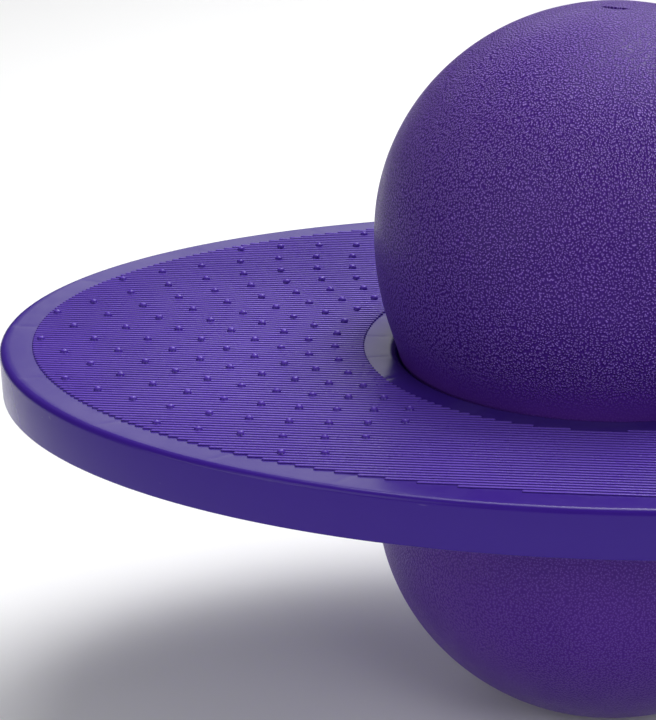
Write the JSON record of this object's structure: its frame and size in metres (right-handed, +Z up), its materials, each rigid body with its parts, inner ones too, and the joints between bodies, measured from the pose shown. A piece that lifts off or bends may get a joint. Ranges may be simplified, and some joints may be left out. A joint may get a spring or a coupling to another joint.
{
  "type": "balance and jumping ball with foot platform",
  "caption": "Two-lobed inflated vinyl ball gripped at its waist by an oval ribbed foot platform, for balancing and hopping, with a pull-out air plug.",
  "frame": {"origin": "centre of the small flat that the lower crown makes on the floor, under the middle of the ball", "axes": "+Z up along the ball's axis, +X along the platform's long side, +Y across it"},
  "size_m": [0.4, 0.284, 0.2356],
  "materials": {
    "platform_plastic": "glossy injection-moulded plastic with a finely ribbed grip field",
    "ball_vinyl": "semi-gloss vinyl with a moulded leather grain that fades to smooth at the waist",
    "plug_vinyl": "semi-gloss vinyl"
  },
  "bodies": {
    "hopper": {"platform": "platform_plastic", "ball": "ball_vinyl"},
    "plug": {"valve_plug": "plug_vinyl"}
  },
  "joints": [
    {"name": "valve_plug_pull", "type": "slide", "parent": "hopper", "child": "plug", "axis": [0, 0, 1], "range_m": [0, 0.015]}
  ]
}
